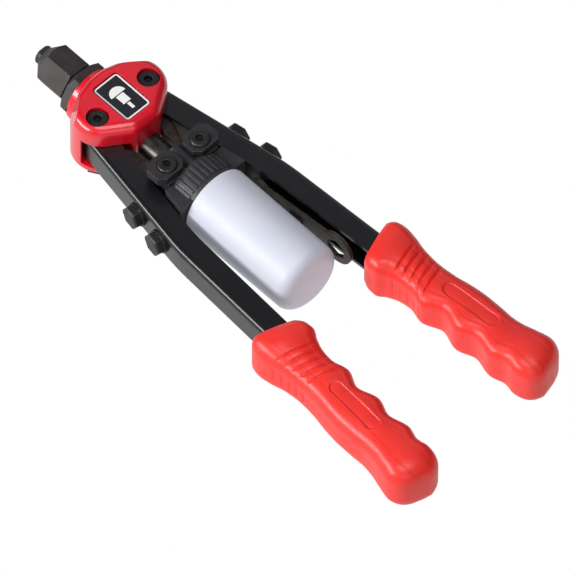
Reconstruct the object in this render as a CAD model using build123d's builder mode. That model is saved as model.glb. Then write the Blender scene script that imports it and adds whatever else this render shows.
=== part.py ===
"""Two-hand lever riveter with a mandrel collection bottle.

Frame: +Y runs along the tool axis towards the nose, +X to the right arm, +Z up.
The origin is the centre of the nosepiece's mouth. The arms are closed.
All lengths are millimetres.
"""
from build123d import *
import math
import os

os.makedirs("parts", exist_ok=True)

# ---- driving dimensions ---------------------------------------------------
pivot_x = 19.5            # half the spacing of the two arm pivots
pivot_y = -65.0           # arm pivots, behind the nosepiece's mouth
bolt_r = 4.0              # M8 shanks of the pivots and the yoke
running_gap = 0.06        # radial clearance of a turning fit

head_top = 24.5
head_bottom = -15.2       # the fork's lower plate is thinner than the upper one
slot_half_height = 10.7   # the head's fork that the arms turn in
lobe_x = 13.3
lobe_r = 17.4
head_corner_r = 9.0
rim_round = 6.0
boss_r = 17.5
boss_front_y = pivot_y + 27.2
barrel_half_width = 10.7

arm_half_height = 10.25
arm_width = 14.6
wall = 2.2
arm_edge_round = 3.4
arm_front_angle = 9.9     # front run of the arm, out from the tool axis
arm_rear_angle = 3.2      # rear run of the arm
arm_hub_r = 8.3           # pivot to the arm's outer face
arm_bend_y = pivot_y - 86.8
arm_bend_r = 150.0
arm_end_y = pivot_y - 270.0

toggle_x = 12.6           # link bolts on the yoke
toggle_y = pivot_y - 48.3
knuckle_x = 22.5          # link pins inside the arms
knuckle_y = pivot_y - 23.0
knuckle_hole_x = 23.0     # the lever's clearance hole round the link pin
knuckle_hole_y = pivot_y - 22.04
knuckle_play = 1.25
link_low = 4.3            # each side has two link plates, above and below the lever
link_high = 7.6

tube_r = 7.8
case_r = 8.4
guide_r = 8.6
thread_r = 11.0
mandrel_r = 2.3

yoke_rear_y = pivot_y - 56.4
collar_rear_y = pivot_y - 72.1
bottle_r = 21.8
bottle_front_y = pivot_y - 72.5
bottle_rear_y = pivot_y - 150.5

grip_front_y = pivot_y - 155.5
left_grip_setback = 4.5   # the left grip is pushed less far onto its arm

RIGHT = 1
LEFT = -1


def finish(piece, label):
    """Name a finished piece and write it to its own file."""
    piece.part.label = label
    export_step(piece.part, f"parts/{label}.step")


def along_y(y):
    """A sketch plane square to the tool axis: local x is +X, local y is +Z."""
    return Plane(origin=(0, y, 0), x_dir=(1, 0, 0), z_dir=(0, -1, 0))


def turned(points):
    """Revolve a closed profile of (radius, y) points about the tool axis."""
    with BuildPart() as body:
        with BuildSketch(Plane.XY):
            with BuildLine():
                Polyline(*points, close=True)
            make_face()
        revolve(axis=Axis.Y)
    return body


# ---- arm geometry shared by the channels, levers, bolts and grips ----------
front_slope = math.tan(math.radians(arm_front_angle))
rear_slope = math.tan(math.radians(arm_rear_angle))


def arm_outer_x(y):
    """Outer face of the right arm at a station, without the bend's rounding."""
    start_x = pivot_x + arm_hub_r / math.cos(math.radians(arm_front_angle))
    bend_x = start_x + (pivot_y - arm_bend_y) * front_slope
    if y > arm_bend_y:
        return start_x + (pivot_y - y) * front_slope
    return bend_x + (arm_bend_y - y) * rear_slope


def arm_strip(side, outer_inset, inner_inset, front_y, rear_y):
    """Plan face that follows the arm between two stations; insets narrow it."""
    def offset_point(y, inset):
        angle = arm_front_angle if y > arm_bend_y else arm_rear_angle
        return (side * (arm_outer_x(y) - inset / math.cos(math.radians(angle))), y)

    inner = arm_width - inner_inset
    stations = [front_y, rear_y]
    if rear_y < arm_bend_y < front_y:
        stations = [front_y, arm_bend_y, rear_y]
    outline = [offset_point(y, outer_inset) for y in stations]
    outline += [offset_point(y, inner) for y in reversed(stations)]
    with BuildSketch(Plane.XY, mode=Mode.PRIVATE) as strip:
        with BuildLine():
            Polyline(*outline, close=True)
        make_face()
        bends = [v for v in strip.vertices() if abs(v.Y - arm_bend_y) < 0.01]
        if bends:
            fillet(bends, arm_bend_r)
    return strip.sketch


# ---- head -------------------------------------------------------------------
badge_length = 28.3
badge_width = 18.3
badge_pocket = 1.6
badge_y = pivot_y + 1.0
bolt_recess = 7.5
nut_height = 6.2

shoulder_turn = math.radians(51.5)
shoulder_lean = math.radians(17.0)
shoulder_reach = 23.6

with BuildPart() as head_body:
    with BuildSketch(Plane.XY.offset(head_bottom)) as outline:
        with Locations((lobe_x, pivot_y + 3.4), (-lobe_x, pivot_y + 3.4)):
            Circle(lobe_r)
        with Locations((4.4, pivot_y + 14.9), (-4.4, pivot_y + 14.9)):
            Circle(head_corner_r)
        with Locations((5.9, pivot_y - 11.8), (-5.9, pivot_y - 11.8)):
            Circle(head_corner_r)
        make_hull()
    extrude(amount=head_top - head_bottom)
    fillet(head_body.faces().sort_by(Axis.Z)[-1].edges(), rim_round)
    fillet(head_body.faces().sort_by(Axis.Z)[0].edges(), 1.8)
    for side in (RIGHT, LEFT):
        across = side * math.cos(shoulder_turn)
        along = math.sin(shoulder_turn)
        shoulder = Plane(origin=(shoulder_reach * across, pivot_y + shoulder_reach * along, head_top),
                         x_dir=(-along, across, 0),
                         z_dir=(across * math.cos(shoulder_lean), along * math.cos(shoulder_lean),
                                math.sin(shoulder_lean)))
        with Locations(shoulder):
            Box(60, 60, 20, align=(Align.CENTER, Align.CENTER, Align.MIN), mode=Mode.SUBTRACT)
    with BuildSketch(along_y(pivot_y + 6.0)):
        Circle(boss_r)
    extrude(amount=-(boss_front_y - pivot_y - 6.0))
    for side in (RIGHT, LEFT):
        with BuildSketch(Plane.XY.offset(-slot_half_height)):
            with Locations((side * pivot_x, pivot_y)):
                Circle(arm_hub_r + 1.9)
            with Locations((side * (barrel_half_width + 20), pivot_y - 20)):
                Rectangle(40, 40)
            with Locations((side * (pivot_x + 15), pivot_y + 1)):
                Rectangle(30, 2)
            with Locations((0, pivot_y)):
                Rectangle(2 * barrel_half_width, 80, mode=Mode.SUBTRACT)
        extrude(amount=2 * slot_half_height, mode=Mode.SUBTRACT)
    with BuildSketch(along_y(pivot_y - 30)):
        Circle(tube_r + 0.12)
    extrude(amount=-70, mode=Mode.SUBTRACT)
    with BuildSketch(along_y(pivot_y - 6)):
        Circle(guide_r)
    extrude(amount=-70, mode=Mode.SUBTRACT)
    with BuildSketch(along_y(pivot_y + 8)):
        Circle(thread_r)
    extrude(amount=-60, mode=Mode.SUBTRACT)
    with Locations((pivot_x, pivot_y, head_top), (-pivot_x, pivot_y, head_top)):
        CounterBoreHole(bolt_r + running_gap, 6.5, bolt_recess)
    with BuildSketch(Plane.XY.offset(head_top - badge_pocket)):
        with Locations((0, badge_y)):
            RectangleRounded(badge_width + 0.8, badge_length + 0.8, 2.6)
    extrude(amount=5, mode=Mode.SUBTRACT)
finish(head_body, "head_body")

with BuildPart() as badge_plate:
    with BuildSketch(Plane.XY.offset(head_top - badge_pocket)):
        with Locations((0, badge_y)):
            RectangleRounded(badge_width, badge_length, 2.2)
    extrude(amount=0.8)
    chamfer(badge_plate.faces().sort_by(Axis.Z)[-1].edges(), 0.2)
finish(badge_plate, "badge_plate")


def socket_bolt(x, y, top_z, bottom_z, head_r, head_height, key):
    """Socket-head cap screw standing on +Z, made at its own place."""
    with BuildPart() as bolt:
        with BuildSketch(Plane.XY.offset(top_z - head_height)):
            with Locations((x, y)):
                Circle(head_r)
        extrude(amount=head_height)
        chamfer(bolt.faces().sort_by(Axis.Z)[-1].edges(), 0.7)
        with BuildSketch(Plane.XY.offset(bottom_z)):
            with Locations((x, y)):
                Circle(bolt_r)
        extrude(amount=top_z - head_height - bottom_z)
        chamfer(bolt.faces().sort_by(Axis.Z)[0].edges(), 0.8)
        with BuildSketch(Plane.XY.offset(top_z)):
            with Locations((x, y)):
                RegularPolygon(key / 2, 6, major_radius=False)
        extrude(amount=-0.65 * head_height, mode=Mode.SUBTRACT)
    return bolt.part


pivot_head_top = head_top - 1.4
with BuildPart() as pivot_bolts:
    for side in (RIGHT, LEFT):
        add(socket_bolt(side * pivot_x, pivot_y, pivot_head_top, head_bottom - nut_height - 0.6,
                        6.1, pivot_head_top - head_top + bolt_recess, 5.0))
finish(pivot_bolts, "pivot_bolts")

with BuildPart() as pivot_nuts:
    with BuildSketch(Plane.XY.offset(head_bottom - nut_height)):
        with Locations((pivot_x, pivot_y), (-pivot_x, pivot_y)):
            RegularPolygon(6.5, 6, major_radius=False)
            Circle(bolt_r, mode=Mode.SUBTRACT)
    extrude(amount=nut_height)
    for nut in pivot_nuts.solids():
        chamfer(nut.faces().sort_by(Axis.Z)[0].outer_wire().edges(), 0.5)
finish(pivot_nuts, "pivot_nuts")

# ---- nose ---------------------------------------------------------------------
hex_turn = 114.0          # one edge of the hexagons points up and to the left
nut_front_y = pivot_y + 33.0
hex_rear_y = pivot_y + 36.2
cone_rear_y = pivot_y + 53.0
cone_front_y = pivot_y + 61.5
nose_across_flats = 24.0
lock_across_flats = 32.0
nose_thread_r = 4.75
case_room_y = pivot_y + 54.0


def hexagon_bar(across_flats, rear_y, front_y):
    """Hexagonal prism along the tool axis."""
    with BuildPart() as bar:
        with BuildSketch(along_y(rear_y)):
            RegularPolygon(across_flats / 2, 6, major_radius=False, rotation=hex_turn)
        extrude(amount=-(front_y - rear_y))
    return bar.part


def cone_envelope(small_r, front_y, rear_y, far_y):
    """Turned envelope that cuts a cone of about 45 degrees on a hexagon's front."""
    reach = small_r + (front_y - rear_y) * 1.02
    return turned([(0, front_y), (small_r, front_y), (reach, rear_y), (40, rear_y), (40, far_y),
                   (0, far_y)]).part


with BuildPart() as nose_lock_nut:
    add(hexagon_bar(lock_across_flats, boss_front_y, nut_front_y))
    add(cone_envelope(16.4, nut_front_y, nut_front_y - 1.6, boss_front_y - 5), mode=Mode.INTERSECT)
    with BuildSketch(along_y(boss_front_y - 1)):
        Circle(thread_r)
    extrude(amount=-20, mode=Mode.SUBTRACT)
finish(nose_lock_nut, "nose_lock_nut")

with BuildPart() as nose_housing:
    add(hexagon_bar(nose_across_flats, hex_rear_y, cone_front_y))
    add(cone_envelope(6.6, cone_front_y, cone_rear_y, hex_rear_y - 5), mode=Mode.INTERSECT)
    with BuildSketch(along_y(pivot_y + 8)):
        Circle(thread_r)
    extrude(amount=-(hex_rear_y - pivot_y - 8))
    with BuildSketch(along_y(pivot_y)):
        Circle(guide_r)
    extrude(amount=-(case_room_y - pivot_y), mode=Mode.SUBTRACT)
    with BuildSketch(along_y(pivot_y + 40)):
        Circle(nose_thread_r)
    extrude(amount=-40, mode=Mode.SUBTRACT)
finish(nose_housing, "nose_housing")

tip_r = 5.9
tail_y = pivot_y + 49.5
with BuildPart() as nosepiece:
    add(turned([(mandrel_r, 0), (tip_r - 0.6, 0), (tip_r, -0.6),
                (tip_r, cone_front_y), (nose_thread_r, cone_front_y), (nose_thread_r, pivot_y + 53),
                (3.6, tail_y), (mandrel_r, tail_y)]).part)
    with Locations((0, -1.4, 5.6), (0, -1.4, -5.6)):
        Box(14, 4.4, 1.6, mode=Mode.SUBTRACT)
finish(nosepiece, "nosepiece")

# ---- pulling gear inside the head ------------------------------------------------
case_front_y = pivot_y + 36.1
case_rear_y = pivot_y - 2.0
jaw_front_y = pivot_y + 31.5
jaw_rear_y = pivot_y + 22.5
with BuildPart() as jaw_case:
    add(turned([(5.4, case_front_y), (case_r - 0.6, case_front_y), (case_r, case_front_y - 0.6),
                (case_r, case_rear_y), (7.2, case_rear_y), (7.2, jaw_rear_y - 0.4),
                (5.4, jaw_front_y + 0.8)]).part)
finish(jaw_case, "jaw_case")

with BuildPart() as jaws:
    add(turned([(mandrel_r - 0.1, jaw_front_y - 0.6), (3.4, jaw_front_y), (5.2, jaw_front_y),
                (6.85, jaw_rear_y), (5.6, jaw_rear_y), (mandrel_r - 0.1, jaw_rear_y + 3.0)]).part)
    with BuildSketch(along_y(jaw_rear_y - 1)):
        with PolarLocations(5, 3, start_angle=90):
            Rectangle(10, 0.7)
    extrude(amount=-12, mode=Mode.SUBTRACT)
finish(jaws, "jaws")

pusher_flange_y = pivot_y + 17.0
with BuildPart() as jaw_pusher:
    add(turned([(3.0, jaw_rear_y + 1.8), (3.4, jaw_rear_y + 1.8), (5.4, jaw_rear_y - 0.3),
                (6.9, jaw_rear_y - 0.3), (6.9, pusher_flange_y), (4.5, pusher_flange_y),
                (4.5, pusher_flange_y - 5.0), (3.0, pusher_flange_y - 5.0)]).part)
finish(jaw_pusher, "jaw_pusher")

tube_front_y = pivot_y + 5.0
spring_wire_r = 0.55
spring_coil_r = 5.9
spring_turns = 5
spring_length = pusher_flange_y - tube_front_y - 2 * spring_wire_r
with BuildPart() as pusher_spring:
    with BuildLine() as coil:
        Helix(pitch=spring_length / spring_turns, height=spring_length, radius=spring_coil_r,
              center=(0, tube_front_y + spring_wire_r, 0), direction=(0, 1, 0))
    with BuildSketch(coil.line ^ 0):
        Circle(spring_wire_r)
    sweep()
finish(pusher_spring, "pusher_spring")

with BuildPart() as pull_tube:
    add(turned([(5.0, tube_front_y), (7.15, tube_front_y), (7.15, case_rear_y), (tube_r, case_rear_y),
                (tube_r, yoke_rear_y), (7.0, yoke_rear_y), (7.0, yoke_rear_y - 7.0),
                (5.0, yoke_rear_y - 7.0)]).part)
finish(pull_tube, "pull_tube")

# ---- yoke -----------------------------------------------------------------------
ear_low = 16.0
ear_high = 21.4
ear_x = 13.6
ear_y = pivot_y - 47.7
tongue_half = 3.9
pocket_high = 8.2
eye_room = 6.0
with BuildPart() as yoke:
    with BuildSketch(Plane.XY.offset(-ear_low)):
        with Locations((toggle_x, toggle_y), (-toggle_x, toggle_y)):
            Circle(6.6)
        with Locations((0, (pivot_y - 40.6 + yoke_rear_y) / 2)):
            Rectangle(2 * toggle_x + 1, yoke_rear_y - pivot_y + 40.6)
        with Locations((0, yoke_rear_y + 2.6)):
            Rectangle(38, 5.2)
    extrude(amount=2 * ear_low)
    for low in (ear_low, -ear_high):
        with BuildSketch(Plane.XY.offset(low)) as ears:
            with Locations((ear_x, ear_y), (-ear_x, ear_y)):
                Rectangle(19.6, 15.5)
            chamfer(ears.vertices(), 3.6)
        extrude(amount=ear_high - ear_low)
    with Locations(along_y(pivot_y - 40.6)):
        with Locations((0, ear_low - 0.6), (0, -ear_low + 0.6)):
            Cylinder(4.2, yoke_rear_y * -1 + pivot_y - 40.6,
                     align=(Align.CENTER, Align.CENTER, Align.MIN))
    for low in (tongue_half, -pocket_high):
        with BuildSketch(Plane.XY.offset(low)):
            for side in (RIGHT, LEFT):
                with Locations((side * toggle_x, toggle_y)):
                    Circle(eye_room)
                with BuildLine():
                    Polyline((side * 7, toggle_y), (side * 7, toggle_y + 12), (side * 32, toggle_y + 12),
                             (side * 32, toggle_y + 5), (side * 15.9, toggle_y - 5), close=True)
                make_face()
        extrude(amount=pocket_high - tongue_half, mode=Mode.SUBTRACT)
    with BuildSketch(along_y(pivot_y - 20)):
        Circle(tube_r)
    extrude(amount=60, mode=Mode.SUBTRACT)
    with Locations((toggle_x, toggle_y, ear_high), (-toggle_x, toggle_y, ear_high)):
        CounterBoreHole(bolt_r, 5.95, 3.0)
finish(yoke, "yoke")

with BuildPart() as yoke_bolts:
    for side in (RIGHT, LEFT):
        add(socket_bolt(side * toggle_x, toggle_y, ear_high + 1.2, -ear_high + 0.5, 5.65, 4.2, 5.0))
finish(yoke_bolts, "yoke_bolts")

with BuildPart() as tube_nut:
    with BuildSketch(along_y(yoke_rear_y)):
        RegularPolygon(10.0, 6, major_radius=False)
        Circle(7.0, mode=Mode.SUBTRACT)
    extrude(amount=5.0)
finish(tube_nut, "tube_nut")

# ---- bottle collar and bottle -----------------------------------------------------
wing_half_height = 13.7
rib_count = 11
rib_pitch = 9.5
neck_r = 13.0
collar_r = 20.5
with BuildPart() as bottle_collar:
    with BuildSketch(along_y(yoke_rear_y)):
        Circle(collar_r)
    extrude(amount=yoke_rear_y - collar_rear_y)
    with BuildSketch(Plane.XY.offset(-wing_half_height)):
        with BuildLine():
            Polyline((21.6, yoke_rear_y), (24.7, collar_rear_y), (-24.7, collar_rear_y),
                     (-21.6, yoke_rear_y), close=True)
        make_face()
    extrude(amount=2 * wing_half_height)
    for start in (90, 270):
        with BuildSketch(along_y(yoke_rear_y - 1.6)):
            with PolarLocations(collar_r, rib_count, start_angle=start - rib_pitch * 5,
                                angular_range=rib_pitch * (rib_count - 1), endpoint=True):
                Rectangle(1.4, 1.7)
        extrude(amount=11.5)
    with BuildSketch(along_y(yoke_rear_y)):
        Circle(12.0)
    extrude(amount=5.4, mode=Mode.SUBTRACT)
    with BuildSketch(along_y(yoke_rear_y - 5.4)):
        Circle(neck_r)
    extrude(amount=20, mode=Mode.SUBTRACT)
    with Locations(Plane(origin=(0, collar_rear_y, 0), x_dir=(1, 0, 0), z_dir=(0, -1, 0))):
        with Locations((0, 16.8), (0, -16.8)):
            CounterBoreHole(1.6, 2.9, 11.0)
finish(bottle_collar, "bottle_collar")

with BuildPart() as collar_screws:
    for height in (16.8, -16.8):
        with BuildSketch(Plane(origin=(0, collar_rear_y + 11.0, height), x_dir=(1, 0, 0), z_dir=(0, -1, 0))):
            Circle(2.8)
        extrude(amount=2.6)
        with BuildSketch(Plane(origin=(0, collar_rear_y + 11.0, height), x_dir=(1, 0, 0), z_dir=(0, 1, 0))):
            Circle(1.6)
        extrude(amount=yoke_rear_y - collar_rear_y - 11.0)
finish(collar_screws, "collar_screws")

bottle_wall = 1.4
neck_front_y = yoke_rear_y - 6.0
with BuildPart() as collection_bottle:
    with BuildSketch(Plane.XY):
        with BuildLine():
            Polyline((0, bottle_front_y), (bottle_r, bottle_front_y), (bottle_r - 0.4, bottle_rear_y),
                     (0, bottle_rear_y), close=True)
        make_face()
    revolve(axis=Axis.Y)
    fillet(collection_bottle.edges().filter_by(GeomType.CIRCLE).sort_by(Axis.Y)[0], 7.0)
    fillet(collection_bottle.edges().filter_by(GeomType.CIRCLE).sort_by(Axis.Y)[-1], 1.6)
    with BuildSketch(along_y(neck_front_y)):
        Circle(neck_r - 0.3)
    extrude(amount=neck_front_y - bottle_front_y)
    with BuildSketch(Plane.XY):
        with BuildLine():
            inner_r = bottle_r - bottle_wall
            Polyline((0, neck_front_y + 1), (neck_r - 1.9, neck_front_y + 1),
                     (neck_r - 1.9, bottle_front_y - bottle_wall),
                     (inner_r - 1.5, bottle_front_y - bottle_wall),
                     (inner_r, bottle_front_y - bottle_wall - 1.5), (inner_r - 0.4, bottle_rear_y + 7.6),
                     (inner_r - 6.2, bottle_rear_y + bottle_wall), (0, bottle_rear_y + bottle_wall),
                     close=True)
        make_face()
    revolve(axis=Axis.Y, mode=Mode.SUBTRACT)
finish(collection_bottle, "collection_bottle")

# ---- arms, one of each per side ------------------------------------------------------
outer_bolt_stations = (pivot_y - 50.5, pivot_y - 72.0)
lever_front_block_y = pivot_y - 45.0
lever_rear_y = pivot_y - 80.5
channel_gap = 0.05
# side plate of the lever towards the tool axis: |x| and distance behind the pivot
lever_cheek = ((16.0, -12.0), (11.6, -18.5), (9.6, -23.5), (9.6, -33.0), (14.0, -37.0), (22.0, -37.0),
               (24.0, -12.0))


def bolt_plane(side, y):
    """Plane on the arm's outer face at a bolt, with its normal pointing outwards."""
    tilt = math.radians(arm_front_angle)
    return Plane(origin=(side * arm_outer_x(y), y, 0), x_dir=(0, 0, 1),
                 z_dir=(side * math.cos(tilt), math.sin(tilt), 0))


def arm_channel(side):
    """Pressed channel, open towards the tool axis, with a rounded front end."""
    with BuildPart() as channel:
        with BuildSketch(Plane.XY.offset(-arm_half_height)):
            with Locations((side * pivot_x, pivot_y)):
                Circle(arm_hub_r)
            add(arm_strip(side, 0, 0, pivot_y, arm_end_y))
        extrude(amount=2 * arm_half_height)
        outer_edges = channel.edges().filter_by(lambda e: abs(e.center().Z) > arm_half_height - 0.01)
        outer_edges = outer_edges.filter_by(
            lambda e: side * e.center().X > arm_outer_x(e.center().Y) - 2 and e.center().Y < pivot_y)
        fillet(outer_edges, arm_edge_round)
        with BuildSketch(Plane.XY.offset(-arm_half_height + wall)):
            add(arm_strip(side, wall, -6, pivot_y + 12, arm_end_y + wall))
        extrude(amount=2 * (arm_half_height - wall), mode=Mode.SUBTRACT)
        with Locations((side * pivot_x, pivot_y, arm_half_height)):
            Hole(bolt_r + running_gap)
        for y in outer_bolt_stations:
            with Locations(bolt_plane(side, y)):
                Hole(bolt_r, depth=2 * wall)
    return channel


def inner_lever(side):
    """Forged lever inside the channel: pivot hub, web for the link pin, bolted block."""
    half = arm_half_height - wall - channel_gap
    with BuildPart() as lever:
        with BuildSketch(Plane.XY.offset(-tongue_half)):
            add(arm_strip(side, wall + channel_gap, 0.6, pivot_y, lever_rear_y))
            with Locations((side * pivot_x, pivot_y)):
                Circle(5.9)
            with BuildLine():
                Polyline(*[(side * x, pivot_y + y) for x, y in lever_cheek], close=True)
            make_face()
        extrude(amount=2 * tongue_half)
        with BuildSketch(Plane.XY.offset(-half)):
            with Locations((side * pivot_x, pivot_y)):
                Circle(5.9)
            add(arm_strip(side, wall + channel_gap, 0.6, lever_front_block_y, lever_rear_y))
        extrude(amount=2 * half)
        with Locations((side * pivot_x, pivot_y, half)):
            Hole(bolt_r + running_gap)
        with Locations((side * knuckle_hole_x, knuckle_hole_y, half)):
            Hole(3.0 + knuckle_play)
        for y in outer_bolt_stations:
            with Locations(bolt_plane(side, y)):
                Hole(bolt_r, depth=12.0)
    return lever


def arm_bolts(side):
    """The two hexagon bolts that hold the channel to the lever."""
    with BuildPart() as bolts:
        for y in outer_bolt_stations:
            seat = bolt_plane(side, y).offset(1.4)
            with BuildPart(mode=Mode.PRIVATE) as one:
                with BuildSketch(seat):
                    RegularPolygon(6.3, 6, major_radius=False, rotation=30)
                extrude(amount=4.8)
                chamfer(one.faces().sort_by(Axis(seat.origin, seat.z_dir))[-1].edges(), 0.9)
                with BuildSketch(seat.offset(-12.0)):
                    Circle(bolt_r)
                extrude(amount=12.0)
            add(one.part)
    return bolts


def arm_washers(side):
    """Spring washers under the outer bolts."""
    with BuildPart() as washers:
        for y in outer_bolt_stations:
            with BuildSketch(bolt_plane(side, y)):
                Circle(7.2)
                Circle(bolt_r, mode=Mode.SUBTRACT)
            extrude(amount=1.4)
    return washers


def links(side):
    """Upper and lower link plates between the yoke bolt and the link pin."""
    with BuildPart() as plates:
        for low in (link_low, -link_high):
            with BuildSketch(Plane.XY.offset(low)):
                with Locations((side * toggle_x, toggle_y)):
                    Circle(5.5)
                with Locations((side * knuckle_x, knuckle_y)):
                    Circle(5.3)
                make_hull()
                with Locations((side * toggle_x, toggle_y)):
                    Circle(bolt_r + running_gap, mode=Mode.SUBTRACT)
                with Locations((side * knuckle_x, knuckle_y)):
                    Circle(3.0, mode=Mode.SUBTRACT)
            extrude(amount=link_high - link_low)
    return plates


def link_pin(side):
    """Pin pressed into both link plates; the lever's web has a clearance hole round it."""
    with BuildPart() as pin:
        with Locations((side * knuckle_x, knuckle_y, 0)):
            Cylinder(3.0, 2 * link_high)
        chamfer(pin.edges(), 0.4)
    return pin


# grip stations: distance behind the grip's front, inner and outer |x|, half height
grip_stations = (
    (0.0, 27.8, 54.0, 14.2),
    (3.5, 25.4, 57.4, 16.8),
    (11.0, 25.0, 59.0, 17.4),
    (24.0, 28.8, 57.4, 15.8),
    (38.0, 31.4, 56.0, 14.6),
    (51.0, 29.6, 56.6, 14.8),
    (63.5, 33.8, 58.4, 15.2),
    (76.5, 31.0, 60.0, 15.5),
    (89.0, 34.6, 60.0, 15.5),
    (101.5, 32.4, 61.0, 15.9),
    (113.0, 34.8, 64.2, 16.9),
    (123.0, 34.2, 65.0, 17.2),
    (130.0, 36.8, 61.5, 15.0),
    (134.0, 40.5, 55.5, 10.5),
)


def grip(side):
    """Moulded hand grip over the arm's rear end, with three finger ridges inside."""
    setback = left_grip_setback if side == LEFT else 0.0
    front_y = grip_front_y - setback
    with BuildPart() as handle:
        for distance, inner, outer, half in grip_stations:
            drift = setback * rear_slope
            with BuildSketch(along_y(front_y - distance)):
                with Locations((side * ((inner + outer) / 2 + drift), 0)):
                    RectangleRounded(outer - inner, 2 * half, 0.62 * min(half, (outer - inner) / 2))
        loft()
        with BuildSketch(Plane.XY.offset(-arm_half_height)):
            add(arm_strip(side, 0, 0, front_y + 5, arm_end_y))
        extrude(amount=2 * arm_half_height, mode=Mode.SUBTRACT)
    return handle


for side, name in ((LEFT, "left"), (RIGHT, "right")):
    finish(arm_channel(side), f"{name}_arm_channel")
    finish(inner_lever(side), f"{name}_inner_lever")
    finish(arm_bolts(side), f"{name}_arm_bolts")
    finish(arm_washers(side), f"{name}_arm_washers")
    finish(links(side), f"{name}_link_plates")
    finish(link_pin(side), f"{name}_link_pin")
    finish(grip(side), f"{name}_grip")

# ---- wrench and its clip on the right arm ----------------------------------------------
wrench_front_y = pivot_y - 77.0
wrench_ring_y = pivot_y - 142.6
wrench_ring_x = 27.2
wrench_thickness = 2.6
ring_r = 11.0
tilt = math.radians(arm_rear_angle)
wrench_plane = Plane(origin=(wrench_ring_x, wrench_ring_y, 0),
                     x_dir=(-math.sin(tilt), math.cos(tilt), 0), z_dir=(math.cos(tilt), math.sin(tilt), 0))
wrench_length = (wrench_front_y - wrench_ring_y) / math.cos(tilt)
with BuildPart() as wrench:
    with BuildSketch(wrench_plane):
        Circle(ring_r)
        with BuildLine():
            Polyline((0, 7.5), (wrench_length - 8, 5.0), (wrench_length - 8, -5.0), (0, -7.5), close=True)
        make_face()
        with Locations((wrench_length - 8, 0)):
            Circle(7.0)
        RegularPolygon(6.1, 6, major_radius=False, rotation=30, mode=Mode.SUBTRACT)
        with Locations((wrench_length - 8, 0)):
            RegularPolygon(4.1, 6, major_radius=False, mode=Mode.SUBTRACT)
    extrude(amount=wrench_thickness / 2, both=True)
finish(wrench, "wrench")

clip_y = pivot_y - 108.0
clip_width = 9.0
clip_gap = wrench_thickness / 2 + 0.3
clip_sheet = 0.9
clip_floor = -arm_half_height + wall + 0.1
clip_lip = 3.0
clip_x = wrench_ring_x - (clip_y - wrench_ring_y) * rear_slope
web_distance = (arm_outer_x(clip_y) - clip_x) * math.cos(tilt) - wall
clip_plane = Plane(origin=(clip_x, clip_y, 0), x_dir=(math.cos(tilt), math.sin(tilt), 0),
                   z_dir=(math.sin(tilt), -math.cos(tilt), 0))
with BuildPart() as wrench_clip:
    with BuildSketch(clip_plane):
        corner = (Align.MIN, Align.MIN)
        with Locations((-clip_gap - clip_sheet, clip_floor), (clip_gap, clip_floor)):
            Rectangle(clip_sheet, clip_lip - clip_floor, align=corner)
        with Locations((-clip_gap - clip_sheet, clip_floor)):
            Rectangle(clip_gap + clip_sheet + web_distance, clip_sheet, align=corner)
        with Locations((web_distance - clip_sheet, clip_floor)):
            Rectangle(clip_sheet, 9.0, align=corner)
    extrude(amount=clip_width)
finish(wrench_clip, "wrench_clip")
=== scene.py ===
"""Looks of the two-hand lever riveter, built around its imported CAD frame.

Frame: metres, +Y towards the nose, +X to the right arm, +Z up, origin at the nosepiece's mouth.
Lengths in the tables are millimetres, turned into metres by MM.
"""
import math

import bpy
import numpy as np
from mathutils import Matrix, Vector


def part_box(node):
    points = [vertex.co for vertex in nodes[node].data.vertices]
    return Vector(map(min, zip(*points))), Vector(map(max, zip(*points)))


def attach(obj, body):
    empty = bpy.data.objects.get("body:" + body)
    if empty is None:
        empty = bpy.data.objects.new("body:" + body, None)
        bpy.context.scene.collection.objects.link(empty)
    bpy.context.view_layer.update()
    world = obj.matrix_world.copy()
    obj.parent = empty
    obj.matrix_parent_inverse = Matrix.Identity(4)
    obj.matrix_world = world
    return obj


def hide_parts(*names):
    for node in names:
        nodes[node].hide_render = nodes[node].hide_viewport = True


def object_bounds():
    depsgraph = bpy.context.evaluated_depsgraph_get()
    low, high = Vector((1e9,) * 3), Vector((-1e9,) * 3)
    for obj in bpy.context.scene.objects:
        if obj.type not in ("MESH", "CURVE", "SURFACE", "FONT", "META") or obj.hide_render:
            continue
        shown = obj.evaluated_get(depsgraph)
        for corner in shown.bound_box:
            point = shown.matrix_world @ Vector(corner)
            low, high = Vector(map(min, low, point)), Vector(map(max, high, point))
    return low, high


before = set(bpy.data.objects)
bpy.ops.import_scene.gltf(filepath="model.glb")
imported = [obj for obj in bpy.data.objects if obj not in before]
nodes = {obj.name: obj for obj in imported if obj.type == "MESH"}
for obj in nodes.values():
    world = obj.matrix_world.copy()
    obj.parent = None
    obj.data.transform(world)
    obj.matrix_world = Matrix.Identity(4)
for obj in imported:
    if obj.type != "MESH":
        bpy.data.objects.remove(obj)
cad_low, cad_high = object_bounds()
MM = 0.001
scene = bpy.context.scene
scene.view_settings.view_transform = "Standard"

# ---- camera -----------------------------------------------------------------
AZIMUTH, ELEVATION, ROLL = map(math.radians, (-44.372, 55.029, 0.529))
LOOK_AT = Vector((-0.01655, -0.21383, 0.01025))
VIEW_WIDTH = 0.3175
CAMERA_DISTANCE = 15.0       # far enough for almost parallel lines of sight
CAMERA_REACH = 100
SENSOR = 36.0

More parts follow.
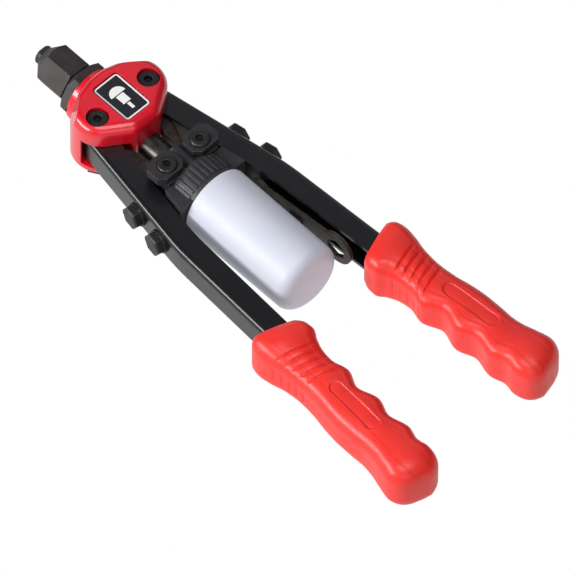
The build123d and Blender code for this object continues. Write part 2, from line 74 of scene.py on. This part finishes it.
back = Vector((math.sin(AZIMUTH) * math.cos(ELEVATION),
               -math.cos(AZIMUTH) * math.cos(ELEVATION), math.sin(ELEVATION)))
level = Vector((math.cos(AZIMUTH), math.sin(AZIMUTH), 0))
upward = back.cross(level)
right = level * math.cos(ROLL) + upward * math.sin(ROLL)
top = upward * math.cos(ROLL) - level * math.sin(ROLL)
camera_data = bpy.data.cameras.new("camera")
camera_data.sensor_width = SENSOR
camera_data.lens = SENSOR * CAMERA_DISTANCE / VIEW_WIDTH
camera_data.clip_end = CAMERA_REACH
camera = bpy.data.objects.new("camera", camera_data)
scene.collection.objects.link(camera)
pose = Matrix((right, top, back)).transposed().to_4x4()
pose.translation = LOOK_AT + back * CAMERA_DISTANCE
camera.matrix_world = pose
scene.camera = camera

# ---- light --------------------------------------------------------------------
def softbox(name, direction, distance, wide, high, radiance, colour=(1, 1, 1)):
    """Rectangular light that faces the tool; its wide side lies level."""
    data = bpy.data.lights.new(name, "AREA")
    data.shape = "RECTANGLE"
    data.size, data.size_y = wide, high
    data.energy = radiance * math.pi * wide * high
    data.color = colour
    light = bpy.data.objects.new(name, data)
    scene.collection.objects.link(light)
    away = Vector(direction).normalized()
    light.location = LOOK_AT + away * distance
    light.rotation_mode = "QUATERNION"
    light.rotation_quaternion = (-away).to_track_quat("-Z", "Y")


softbox("key", (-0.80, 0.41, 0.44), 1.1, 0.95, 0.28, 14.0)
softbox("overhead", (0.78, 0.68, 0.78), 1.1, 0.9, 0.6, 0.45, (0.88, 0.90, 1.0))
softbox("front_fill", (-0.55, -0.75, 0.55), 1.4, 1.0, 0.8, 1.4)
softbox("zenith", (-0.14, -0.10, 1.0), 1.3, 0.7, 0.7, 4.2)

world = bpy.data.worlds.new("studio")
scene.world = world
world.use_nodes = True
WORLD_LIGHT = 0.06
world_tree = world.node_tree
background = world_tree.nodes["Background"]
background.inputs["Color"].default_value = (1, 1, 1, 1)
world_path = world_tree.nodes.new("ShaderNodeLightPath")
world_level = world_tree.nodes.new("ShaderNodeMapRange")
world_level.inputs["To Min"].default_value = WORLD_LIGHT
world_level.inputs["To Max"].default_value = 1.0
world_tree.links.new(world_path.outputs["Is Camera Ray"], world_level.inputs["Value"])
world_tree.links.new(world_level.outputs["Result"], background.inputs["Strength"])

FLOOR_HALF = 3.0
FLOOR_GAP = 0.0006           # below the lowest nut
floor_mesh = bpy.data.meshes.new("floor")
floor_z = cad_low.z - FLOOR_GAP
floor_mesh.from_pydata([(-FLOOR_HALF, -FLOOR_HALF, floor_z), (FLOOR_HALF, -FLOOR_HALF, floor_z),
                        (FLOOR_HALF, FLOOR_HALF, floor_z), (-FLOOR_HALF, FLOOR_HALF, floor_z)],
                       [], [(0, 1, 2, 3)])
floor = bpy.data.objects.new("floor", floor_mesh)
scene.collection.objects.link(floor)


# ---- materials --------------------------------------------------------------------
EDGE_SAMPLES = 6
EDGE_COSINES = (0.995, 0.9)  # between flat and edge, from the rounded and the plain normal
MOTTLE_RANGE = (0.35, 0.65)
# patches of the painted edge highlight: noise scale, noise range and least strength
EDGE_HIGHLIGHT_SCALE, EDGE_HIGHLIGHT_RANGE, LEAST_EDGE_HIGHLIGHT = 420, (0.42, 0.62), 0.25
ROUGH_RANGE = (0.3, 0.7)


def srgb(red, green, blue):
    """Linear colour of an 8-bit sRGB one."""
    return tuple((v / 255 / 12.92 if v <= 10 else ((v / 255 + 0.055) / 1.055) ** 2.4)
                 for v in (red, green, blue)) + (1.0,)


class Paint:
    """A node material on the Principled shader, in the object's own coordinates."""

    def __init__(self, name):
        self.material = bpy.data.materials.new(name)
        self.material.use_nodes = True
        self.tree = self.material.node_tree
        self.shader = self.tree.nodes["Principled BSDF"]
        self.place = self.node("ShaderNodeTexCoord").outputs["Object"]

    def node(self, kind, **settings):
        made = self.tree.nodes.new(kind)
        for key, value in settings.items():
            setattr(made, key, value)
        return made

    def link(self, source, target):
        self.tree.links.new(source, target)

    def noise(self, scale, detail=3.0, stretch=(1, 1, 1)):
        """Noise value; scale is in features per metre."""
        spread = self.node("ShaderNodeMapping")
        spread.inputs["Scale"].default_value = stretch
        self.link(self.place, spread.inputs["Vector"])
        cloud = self.node("ShaderNodeTexNoise")
        cloud.inputs["Scale"].default_value = scale
        cloud.inputs["Detail"].default_value = detail
        self.link(spread.outputs["Vector"], cloud.inputs["Vector"])
        return cloud.outputs["Fac"]

    def remap(self, value, low, high, to_low, to_high):
        ramp = self.node("ShaderNodeMapRange")
        self.link(value, ramp.inputs["Value"])
        for key, number in zip(("From Min", "From Max", "To Min", "To Max"),
                               (low, high, to_low, to_high)):
            ramp.inputs[key].default_value = number
        return ramp.outputs["Result"]

    def mix(self, amount, first, second):
        blend = self.node("ShaderNodeMix", data_type="RGBA")
        self.link(amount, blend.inputs["Factor"])
        for key, colour in (("A", first), ("B", second)):
            socket = [s for s in blend.inputs if s.name == key and s.type == "RGBA"][0]
            if isinstance(colour, tuple):
                socket.default_value = colour
            else:
                self.link(colour, socket)
        return [s for s in blend.outputs if s.type == "RGBA"][0]

    def math(self, operation, first, second):
        made = self.node("ShaderNodeMath", operation=operation)
        for socket, value in zip(made.inputs, (first, second)):
            if isinstance(value, (int, float)):
                socket.default_value = value
            else:
                self.link(value, socket)
        return made.outputs["Value"]

    def soft_edge(self, radius):
        """(rounded normal, mask that is 1 on sharp outer edges)."""
        rounded = self.node("ShaderNodeBevel", samples=EDGE_SAMPLES)
        rounded.inputs["Radius"].default_value = radius
        plain = self.node("ShaderNodeNewGeometry")
        dot = self.node("ShaderNodeVectorMath", operation="DOT_PRODUCT")
        self.link(rounded.outputs["Normal"], dot.inputs[0])
        self.link(plain.outputs["Normal"], dot.inputs[1])
        return rounded.outputs["Normal"], self.remap(dot.outputs["Value"], *EDGE_COSINES, 0, 1)

    def finish(self, colour, edge_highlight, mottle, roughness, bump, edge, **plain):
        """colour with mottling, a lighter colour on sharp edges in patches as a painted edge
        highlight, roughness range, bump layers and a soft edge.

        mottle: (scale, darker colour); roughness: (scale, low, high);
        bump: list of (scale, height in metres, stretch); edge: radius in metres."""
        normal, rim = self.soft_edge(edge) if edge else (None, None)
        cloud = self.remap(self.noise(mottle[0]), *MOTTLE_RANGE, 0, 1)
        base = self.mix(cloud, mottle[1], colour)
        # lighter colour on sharp edges, broken into patches: a painted edge highlight
        if edge_highlight:
            patchy = self.remap(self.noise(EDGE_HIGHLIGHT_SCALE, 4), *EDGE_HIGHLIGHT_RANGE, LEAST_EDGE_HIGHLIGHT, 1)
            base = self.mix(self.math("MULTIPLY", rim, patchy), base, edge_highlight)
        self.link(base, self.shader.inputs["Base Color"])
        rough = self.remap(self.noise(roughness[0], 4), *ROUGH_RANGE, *roughness[1:])
        self.link(rough, self.shader.inputs["Roughness"])
        for scale, height, stretch in bump:
            raised = self.node("ShaderNodeBump")
            raised.inputs["Distance"].default_value = height
            raised.inputs["Strength"].default_value = 1.0
            self.link(self.noise(scale, 2, stretch), raised.inputs["Height"])
            if normal:
                self.link(normal, raised.inputs["Normal"])
            normal = raised.outputs["Normal"]
        self.link(normal, self.shader.inputs["Normal"])
        for key, value in plain.items():
            self.shader.inputs[key.replace("_", " ").title()].default_value = value
        return self.material


EVEN = (1, 1, 1)
# a finish's second colour, where one is given, is a painted edge highlight on sharp edges
enamel = Paint("red_enamel").finish(
    srgb(230, 8, 38), None, (60, srgb(222, 6, 34)), (90, 0.30, 0.42),
    [(260, 0.00003, EVEN)], 0.0006, coat_weight=0.8, coat_roughness=0.08)
arm_paint = Paint("black_enamel").finish(
    srgb(18, 18, 22), None, (70, srgb(14, 14, 17)), (60, 0.28, 0.32),
    [(60, 0.000004, EVEN)], None, coat_weight=0.3, coat_roughness=0.16)
oxide = Paint("black_oxide").finish(
    srgb(66, 61, 61), srgb(104, 98, 96), (140, srgb(55, 51, 51)), (500, 0.42, 0.58),
    [(2600, 0.00002, EVEN)], 0.0004, metallic=0.35)
bolt_black = Paint("bolt_black").finish(
    srgb(48, 46, 47), srgb(104, 100, 100), (200, srgb(38, 36, 38)), (600, 0.36, 0.52),
    [(2400, 0.000015, EVEN)], 0.0004, metallic=0.35)
yoke_black = Paint("cast_black").finish(
    srgb(50, 49, 52), srgb(74, 73, 77), (150, srgb(42, 41, 44)), (400, 0.42, 0.55),
    [(1500, 0.00004, EVEN)], 0.0006, metallic=0.15)
collar_black = Paint("collar_black").finish(
    srgb(50, 49, 53), srgb(72, 71, 76), (120, srgb(43, 42, 46)), (500, 0.40, 0.52),
    [(1800, 0.000025, EVEN)], 0.0005)
forged = Paint("forged_steel").finish(
    srgb(84, 77, 71), srgb(112, 104, 96), (260, srgb(64, 58, 53)), (420, 0.40, 0.6),
    [(1900, 0.00004, EVEN)], 0.0004, metallic=0.6)
wrench_steel = Paint("wrench_steel").finish(
    srgb(78, 72, 64), srgb(120, 112, 102), (260, srgb(62, 57, 51)), (420, 0.38, 0.52),
    [(1900, 0.00002, EVEN)], 0.0004, metallic=0.3)
tube_steel = Paint("tube_steel").finish(
    srgb(86, 82, 80), srgb(140, 134, 130), (300, srgb(66, 62, 60)), (500, 0.30, 0.42),
    [(500, 0.00001, (1, 12, 1))], 0.0003, metallic=0.8)
bright_steel = Paint("bright_steel").finish(
    srgb(160, 158, 155), srgb(200, 198, 195), (240, srgb(140, 138, 135)), (500, 0.25, 0.38),
    [(700, 0.000008, (1, 8, 1))], 0.0003, metallic=1.0)
tool_steel = Paint("tool_steel").finish(
    srgb(120, 116, 112), srgb(170, 166, 160), (240, srgb(96, 92, 88)), (500, 0.3, 0.45),
    [(900, 0.00001, EVEN)], 0.0003, metallic=0.9)
spring_steel = Paint("spring_steel").finish(
    srgb(58, 55, 56), srgb(120, 116, 112), (240, srgb(44, 42, 42)), (500, 0.35, 0.5),
    [(900, 0.00001, EVEN)], 0.0003, metallic=0.6)
badge_black = Paint("badge_black").finish(
    srgb(34, 35, 42), None, (900, srgb(28, 29, 35)), (700, 0.38, 0.5),
    [(3000, 0.00001, EVEN)], 0.0001)
badge_white = Paint("badge_white").finish(
    srgb(255, 255, 255), None, (900, srgb(250, 250, 252)), (700, 0.4, 0.5),
    [(3000, 0.000006, EVEN)], 0.00005)
grip_red = Paint("grip_red").finish(
    srgb(252, 58, 50), None, (45, srgb(246, 50, 44)), (300, 0.32, 0.42),
    [(2400, 0.000012, EVEN), (350, 0.00001, EVEN)], 0.0003,
    subsurface_weight=0.08, subsurface_scale=0.001)
# the bottle's emission is a painted glow: the plastic gives off no light, the glow lifts its shaded
# lower side
milky = Paint("milky_plastic").finish(
    srgb(216, 218, 229), None, (30, srgb(211, 214, 227)), (200, 0.42, 0.50),
    [(400, 0.00001, EVEN)], None, subsurface_weight=0.3, subsurface_scale=0.003,
    transmission_weight=0.15, emission_strength=0.08)
milky_shader = milky.node_tree.nodes["Principled BSDF"]
milky_shader.inputs["Subsurface Radius"].default_value = (1.0, 1.0, 1.1)
# colour of the bottle's painted glow
milky_shader.inputs["Emission Color"].default_value = (0.90, 0.92, 1.0, 1.0)

FINISHES = {
    "head_body": enamel, "badge_plate": badge_black, "pivot_bolts": bolt_black,
    "pivot_nuts": bolt_black, "nose_lock_nut": oxide, "nose_housing": oxide, "nosepiece": oxide,
    "jaw_case": bright_steel, "jaws": tool_steel, "jaw_pusher": bright_steel,
    "pusher_spring": spring_steel, "pull_tube": tube_steel, "yoke": yoke_black,
    "yoke_bolts": bolt_black, "tube_nut": bolt_black, "bottle_collar": collar_black,
    "collar_screws": bright_steel, "collection_bottle": milky, "wrench": wrench_steel,
    "wrench_clip": spring_steel,
}
for side in ("left", "right"):
    FINISHES.update({
        f"{side}_arm_channel": arm_paint, f"{side}_inner_lever": forged,
        f"{side}_arm_bolts": bolt_black, f"{side}_arm_washers": spring_steel,
        f"{side}_link_plates": forged, f"{side}_link_pin": bright_steel, f"{side}_grip": grip_red,
    })
for name, finish in FINISHES.items():
    if not nodes[name].material_slots:
        nodes[name].data.materials.append(None)
    for entry in nodes[name].material_slots:
        entry.link = "OBJECT"
        entry.material = finish

floor_material = bpy.data.materials.new("floor_white")
floor_material.use_nodes = True
floor_tree = floor_material.node_tree
floor_tree.nodes.remove(floor_tree.nodes["Principled BSDF"])
FLOOR_SEEN, FLOOR_GIVEN = 1.0, 0.75          # glow for the camera and for the tool
seen = floor_tree.nodes.new("ShaderNodeEmission")
seen.inputs["Strength"].default_value = FLOOR_SEEN
given = floor_tree.nodes.new("ShaderNodeEmission")
given.inputs["Strength"].default_value = FLOOR_GIVEN
path = floor_tree.nodes.new("ShaderNodeLightPath")
choice = floor_tree.nodes.new("ShaderNodeMixShader")
floor_tree.links.new(path.outputs["Is Camera Ray"], choice.inputs["Fac"])
floor_tree.links.new(given.outputs["Emission"], choice.inputs[1])
floor_tree.links.new(seen.outputs["Emission"], choice.inputs[2])
floor_output = floor_tree.nodes["Material Output"]
floor_tree.links.new(choice.outputs["Shader"], floor_output.inputs["Surface"])
floor_mesh.materials.append(floor_material)


# ---- mesh helpers --------------------------------------------------------------------
CORNER_STEPS = 9


def mesh_object(name, vertices, faces, material, body, smooth=True):
    """New piece from points in millimetres, riding on a body."""
    mesh = bpy.data.meshes.new(name)
    mesh.from_pydata([Vector(v) * MM for v in vertices], [], faces)
    mesh.update()
    mesh.polygons.foreach_set("use_smooth", [smooth] * len(mesh.polygons))
    piece = bpy.data.objects.new(name, mesh)
    scene.collection.objects.link(piece)
    mesh.materials.append(material)
    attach(piece, body)
    return piece


def smooth_curve(table, column, at):
    """Monotone cubic through a table's first column and the given one."""
    knots = np.array([row[0] for row in table], float)
    values = np.array([row[column] for row in table], float)
    step = np.diff(knots)
    slope = np.diff(values) / step
    tangent = np.zeros(len(knots))
    tangent[0], tangent[-1] = slope[0], slope[-1]
    for i in range(1, len(knots) - 1):
        if slope[i - 1] * slope[i] > 0:
            before, after = 2 * step[i] + step[i - 1], step[i] + 2 * step[i - 1]
            tangent[i] = (before + after) / (before / slope[i - 1] + after / slope[i])
    at = np.clip(np.asarray(at, float), knots[0], knots[-1])
    i = np.clip(np.searchsorted(knots, at) - 1, 0, len(step) - 1)
    t = (at - knots[i]) / step[i]
    return (values[i] * (1 + 2 * t) * (1 - t) ** 2 + tangent[i] * step[i] * t * (1 - t) ** 2
            + values[i + 1] * t * t * (3 - 2 * t) + tangent[i + 1] * step[i] * t * t * (t - 1))


def ramp(value, low, high):
    """Smooth step from 0 at low to 1 at high."""
    t = np.clip((np.asarray(value, float) - low) / (high - low), 0, 1)
    return t * t * (3 - 2 * t)


def prism(name, outline, hole, low, high, material, body):
    """Thin raised shape; a hole is an outline with as many points as the outer one."""
    count = len(outline)
    rings = [[(x, y, z) for x, y in ring]
             for z in (low, high) for ring in (outline, hole or outline)]
    vertices = [v for ring in rings for v in ring]
    faces = []
    for j in range(count):
        n = (j + 1) % count
        faces.append((j, n, 2 * count + n, 2 * count + j))
        if hole:
            faces.append((count + n, count + j, 3 * count + j, 3 * count + n))
            faces.append((n, j, count + j, count + n))
            faces.append((2 * count + j, 2 * count + n, 3 * count + n, 3 * count + j))
    if not hole:
        vertices = rings[0] + rings[2]
        faces = [(j, (j + 1) % count, count + (j + 1) % count, count + j) for j in range(count)]
        faces += [tuple(reversed(range(count))), tuple(range(count, 2 * count))]
    return mesh_object(name, vertices, faces, material, body, smooth=False)


def arc_points(centre_x, centre_y, radius, start, end, steps):
    """Points on an arc, angles in degrees."""
    return [(centre_x + radius * math.cos(math.radians(a)),
             centre_y + radius * math.sin(math.radians(a)))
            for a in np.linspace(start, end, steps)]


def rounded_outline(half_width, half_length, radius, centre_y):
    """Rounded rectangle about the tool axis, counter-clockwise."""
    points = []
    for x, y, start in ((1, 1, 0), (-1, 1, 90), (-1, -1, 180), (1, -1, 270)):
        points += arc_points(x * (half_width - radius), centre_y + y * (half_length - radius),
                             radius, start, start + 90, CORNER_STEPS)
    return points


# ---- badge: a white border and a plain rivet pictogram -----------------------------------
badge_low, badge_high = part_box("badge_plate")
BADGE_Y = (badge_low.y + badge_high.y) / 2 / MM
BADGE_HALF_WIDTH = (badge_high.x - badge_low.x) / 2 / MM
BADGE_HALF_LENGTH = (badge_high.y - badge_low.y) / 2 / MM
BADGE_TOP = badge_high.z / MM
PRINT_HALF_THICKNESS = 0.05
PRINT_LOW, PRINT_HIGH = BADGE_TOP - PRINT_HALF_THICKNESS, BADGE_TOP + PRINT_HALF_THICKNESS
BORDER_INSET = 0.3
BORDER_WIDTH = 0.95
BADGE_CORNER = 2.2

border_inner = BORDER_INSET + BORDER_WIDTH
prism("badge_border",
      rounded_outline(BADGE_HALF_WIDTH - BORDER_INSET, BADGE_HALF_LENGTH - BORDER_INSET,
                      BADGE_CORNER - BORDER_INSET, BADGE_Y),
      rounded_outline(BADGE_HALF_WIDTH - border_inner, BADGE_HALF_LENGTH - border_inner,
                      BADGE_CORNER - border_inner, BADGE_Y),
      PRINT_LOW, PRINT_HIGH, badge_white, "head")
DOME_R = 5.2
DOME_STEPS = 25
DOME_FORWARD = 2.6
SHANK_HALF, SHANK_LENGTH = 2.7, 6.4
STEM_HALF, STEM_LENGTH = 1.0, 4.6
ICON_GAP = 0.7
icon_y = BADGE_Y + DOME_FORWARD
prism("badge_rivet_dome", arc_points(0, icon_y, DOME_R, 0, 180, DOME_STEPS), None,
      PRINT_LOW, PRINT_HIGH, badge_white, "head")
for piece_name, half, near, reach in (
        ("badge_rivet_shank", SHANK_HALF, ICON_GAP, SHANK_LENGTH),
        ("badge_rivet_stem", STEM_HALF, 2 * ICON_GAP + SHANK_LENGTH, STEM_LENGTH)):
    prism(piece_name, [(-half, icon_y - near - reach), (half, icon_y - near - reach),
                       (half, icon_y - near), (-half, icon_y - near)], None,
          PRINT_LOW, PRINT_HIGH, badge_white, "head")

# ---- grips ---------------------------------------------------------------------------
PIVOT_Y = -65.0                              # the arm pivots
GRIP_FRONT = PIVOT_Y - 155.5                 # the front corner of the right grip
LEFT_SETBACK = 4.5
REAR_SLOPE = math.tan(math.radians(3.2))     # of the arm's rear run
# A grip's outline, for the right arm; the left one is its mirror image.
# distance behind the front corner, outer |x|, outer rounding
OUTER_SIDE = (
    (0.0, 54.0, 4.5), (1.2, 55.8, 5.5), (4.0, 57.8, 7.0), (9.5, 59.0, 8.5), (17.0, 58.4, 8.5),
    (27.0, 56.6, 8.0), (38.0, 56.0, 8.0), (50.0, 56.8, 8.0), (62.0, 58.8, 8.0), (74.0, 60.1, 8.5),
    (84.0, 60.2, 8.5), (92.0, 60.0, 8.5), (101.0, 61.0, 8.5), (110.0, 63.4, 9.0),
    (119.0, 65.2, 9.5), (135.0, 65.2, 9.5))
# distance behind the front corner, inner |x|, inner rounding
INNER_SIDE = (
    (8.0, 27.8, 4.5), (9.4, 26.4, 5.5), (12.0, 25.2, 6.5), (16.0, 25.2, 7.0), (24.0, 28.4, 8.0),
    (33.0, 31.0, 7.5), (41.0, 31.6, 7.5), (51.0, 29.4, 7.5), (63.5, 34.4, 7.0), (76.5, 31.0, 7.5),
    (89.0, 35.0, 7.0), (101.5, 32.4, 7.5), (112.0, 35.2, 7.5), (121.0, 33.8, 8.0),
    (135.0, 33.8, 8.0))
# distance behind the front corner, half height
HALF_HEIGHT = (
    (0.0, 13.6), (1.4, 15.0), (4.0, 16.4), (10.0, 17.3), (18.0, 16.6), (28.0, 15.2), (38.0, 14.6),
    (52.0, 14.8), (66.0, 15.2), (80.0, 15.5), (96.0, 15.7), (108.0, 16.6), (118.0, 17.3),
    (135.0, 17.3))
GROOVE_PITCH = 5.4
GROOVE_FIRST = 20.6
GROOVE_COUNT = 5
GROOVE_DEPTH = 1.3
GROOVE_SIDE_DEPTH = 0.55
GROOVE_HALF = 1.35
GROOVE_SPREAD = 0.62 * GROOVE_HALF
PARTING_DEPTH = 0.18                         # of the line round the grip at half height
PARTING_BAND = 0.02
# the recessed panel: the two ends of its middle line as (|x|, distance), and its half width
SLOT_FROM = np.array((45.4, 57.5))
SLOT_TO = np.array((47.6, 88.5))
SLOT_R = 4.1
SLOT_DEPTH = 0.7
SLOT_WALL = (0.25, -0.35)                    # from the rim's top to its foot
# how far a section runs back per millimetre inwards, by distance behind the front corner
FRONT_SLANT = 0.325
SLANT_AT = (0, 8, 16, 45, 60, 200)
SLANT = (FRONT_SLANT, 0.315, 0.29, 0.29, 0.0, 0.0)
GRIP_WIDTH = 27.0
CROWN = 0.7                                  # the top and underside bow out by this much
CROWN_STEPS, CORNER_STATIONS = 62, 14
BODY_END = 118.0                             # the rounded end starts here
END_REACH = 132.4
END_CENTRE = 48.5
END_RINGS = 15
END_FULLNESS = 0.42
END_TILT_AT, END_TILT = (34, 45, 65), (-1.2, 1.2, -4.0)
# the arm's own section and its outer face at the grip's front
ARM_OUTER_AT_FRONT = 47.0
ARM_HALF_WIDTH = 7.3
ARM_HALF_HEIGHT = 10.95
ARM_OUTER_R, ARM_INNER_R = 2.6, 0.8
# the pocket for the arm: distance behind the front face, and play round the arm
POCKET = ((0.35, 0.9), (0.8, 0.35), (3.0, 0.12), (115.0, 0.12))
POCKET_SQUARE_FROM = 50


def grip_rows():
    """Stations of the grip, closer together where it is grooved."""
    spans = ((0.0, 2.0, 0.4), (2.0, 17.0, 1.0), (17.0, 45.5, 0.3), (45.5, 52.0, 0.8),
             (52.0, 96.0, 0.5), (96.0, BODY_END, 1.0))
    rows = []
    for low, high, step in spans:
        rows += list(np.arange(low, high - 1e-6, step))
    return np.array(rows + [BODY_END])


def grip_columns():
    """(kind, parameter) round the section: top, outer corner, outer side and so on."""
    side_steps = (-1, -0.8, -0.6, -0.42, -0.28, -0.14, -0.04,
                  0, 0.04, 0.14, 0.28, 0.42, 0.6, 0.8, 1)
    corner = np.linspace(0, 1, CORNER_STATIONS)[1:]
    columns = [("top", t) for t in np.linspace(0, 1, CROWN_STEPS)]
    columns += [("outer_top", t) for t in corner]
    columns += [("outer", t) for t in side_steps[::-1][1:]]
    columns += [("outer_low", t) for t in corner]
    columns += [("low", t) for t in np.linspace(0, 1, CROWN_STEPS)[1:]]
    columns += [("inner_low", t) for t in corner]
    columns += [("inner", t) for t in side_steps[1:]]
    columns += [("inner_top", t) for t in corner[:-1]]
    return columns


def section_point(kind, t, inner, outer, half, r_in, r_out):
    """(x, z) on the rounded section between |x| inner and outer; t runs along each kind."""
    flat_in, flat_out = inner + r_in, outer - r_out
    rim = half - CROWN
    if kind in ("top", "low"):
        sign = 1 if kind == "top" else -1
        u = t if kind == "top" else 1 - t
        x = flat_in + (flat_out - flat_in) * u
        return x, sign * (rim + CROWN * (1 - (2 * u - 1) ** 2))
    if kind == "outer_top":
        a = math.pi / 2 * (1 - t)
        return flat_out + r_out * math.cos(a), rim - r_out + r_out * math.sin(a)
    if kind == "outer_low":
        a = -math.pi / 2 * t
        return flat_out + r_out * math.cos(a), -(rim - r_out) + r_out * math.sin(a)
    if kind == "outer":
        return outer, (rim - r_out) * t
    if kind == "inner":
        return inner, (rim - r_in) * t
    if kind == "inner_low":
        a = -math.pi / 2 * (1 - t)
        return flat_in - r_in * math.cos(a), -(rim - r_in) + r_in * math.sin(a)
    a = math.pi / 2 * t
    return flat_in - r_in * math.cos(a), rim - r_in + r_in * math.sin(a)


def panel_depth(x, distance):
    """How deep the recessed panel is at a place on the top or the underside."""
    middle = SLOT_TO - SLOT_FROM
    place = np.array((x, distance))
    along = np.clip(((place - SLOT_FROM) @ middle) / (middle @ middle), 0, 1)
    off = np.linalg.norm(place - SLOT_FROM - along * middle)
    return SLOT_DEPTH * ramp(off, SLOT_R + SLOT_WALL[0], SLOT_R + SLOT_WALL[1])


def grip_skin(rows, columns):
    """Grid of (|x|, distance behind the front corner, z) over the grip's outside."""
    slants = np.interp(rows, SLANT_AT, SLANT)
    points = []
    for s, slant in zip(rows, slants):
        reach = s + slant * GRIP_WIDTH
        outer, r_out = smooth_curve(OUTER_SIDE, 1, s), smooth_curve(OUTER_SIDE, 2, s)
        inner, r_in = smooth_curve(INNER_SIDE, 1, reach), smooth_curve(INNER_SIDE, 2, reach)
        half = smooth_curve(HALF_HEIGHT, 1, s)
        groove = max(math.exp(-(((s - GROOVE_FIRST - GROOVE_PITCH * i) / GROOVE_SPREAD) ** 2))
                     for i in range(GROOVE_COUNT))
        for kind, t in columns:
            x, z = section_point(kind, t, inner, outer, half, r_in, r_out)
            distance = s + slant * (outer - x)
            if kind in ("top", "low"):
                up = 1 if kind == "top" else -1
                z -= up * GROOVE_DEPTH * groove
                z -= up * panel_depth(x, distance)
            elif kind not in ("outer", "inner"):
                flat, radius = (outer - r_out, r_out) if "outer" in kind else (inner + r_in, r_in)
                near_top = 1 - t if kind in ("outer_top", "inner_low") else t
                fall = GROOVE_DEPTH * groove * ramp(near_top, 0.35, 0.9)
                x -= fall * (x - flat) / radius
                z -= fall * math.copysign(1, z) * near_top
            else:
                inward = -1 if kind == "outer" else 1
                fade = ramp(abs(t), 0.95, 0.6)
                x += inward * GROOVE_SIDE_DEPTH * groove * fade
                if abs(t) < PARTING_BAND:
                    x += inward * PARTING_DEPTH
            points.append((x, distance, z))
    return np.array(points).reshape(len(rows), len(columns), 3)


def grip_end(last):
    """Rings that shrink the last section onto a slanted, rounded rear end."""
    rings = []
    for step in np.linspace(0, 1, END_RINGS)[1:]:
        angle = step * math.pi / 2
        shrink = max(math.cos(angle), 0.0) ** END_FULLNESS
        ring = last.copy()
        ring[:, 0] = END_CENTRE + (last[:, 0] - END_CENTRE) * shrink
        ring[:, 2] = last[:, 2] * shrink
        tilt = np.interp(ring[:, 0], END_TILT_AT, END_TILT)
        ring[:, 1] = BODY_END + math.sin(angle) * (END_REACH - BODY_END + tilt)
        rings.append(ring)
    return rings


def arm_pocket(columns):
    """Rings of the pocket that the arm sits in, from the front face inwards."""
    rings = []
    for distance, play in POCKET:
        half_width, half_height = ARM_HALF_WIDTH + play, ARM_HALF_HEIGHT + play
        centre_x = ARM_OUTER_AT_FRONT - ARM_HALF_WIDTH + REAR_SLOPE * distance
        ring = []
        for kind, t in columns:
            x, z = section_point(kind, t, -half_width, half_width, half_height,
                                 ARM_INNER_R, ARM_OUTER_R)
            slanted = distance + FRONT_SLANT * (OUTER_SIDE[0][1] - centre_x - x)
            ring.append((x + centre_x, slanted if distance < POCKET_SQUARE_FROM else distance, z))
        rings.append(ring)
    return rings


def build_grip(side):
    """Moulded grip: slanted flare, grooved neck, finger ridges, recessed panel and bulb."""
    sign = 1 if side == "right" else -1
    setback = LEFT_SETBACK if side == "left" else 0.0
    columns = grip_columns()
    count = len(columns)
    skin = grip_skin(grip_rows(), columns)
    end_rings = grip_end(skin[-1])
    grid = np.concatenate([skin, np.array(end_rings[:-1])])

    vertices = grid.reshape(-1, 3).tolist()
    faces = []
    for i in range(len(grid) - 1):
        for j in range(count):
            n = (j + 1) % count
            faces.append((i * count + j, i * count + n, (i + 1) * count + n, (i + 1) * count + j))
    base = (len(grid) - 1) * count
    vertices.append(end_rings[-1].mean(axis=0).tolist())
    faces += [(base + j, base + (j + 1) % count, len(vertices) - 1) for j in range(count)]

    pocket = arm_pocket(columns)
    start = len(vertices)
    for ring in pocket:
        vertices += ring
    for j in range(count):
        n = (j + 1) % count
        faces.append((n, j, start + j, start + n))
        for i in range(len(pocket) - 1):
            a = start + i * count
            faces.append((a + n, a + j, a + count + j, a + count + n))
    end = start + (len(pocket) - 1) * count
    vertices.append(tuple(np.mean(pocket[-1], axis=0)))
    faces += [(end + (j + 1) % count, end + j, len(vertices) - 1) for j in range(count)]

    drift = setback * REAR_SLOPE
    placed = [(sign * (x + drift), GRIP_FRONT - setback - y, z) for x, y, z in vertices]
    if sign < 0:
        faces = [tuple(reversed(face)) for face in faces]
    piece = mesh_object(f"{side}_grip_moulding", placed, faces, grip_red, f"{side}_arm")
    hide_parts(f"{side}_grip")


for side in ("left", "right"):
    build_grip(side)
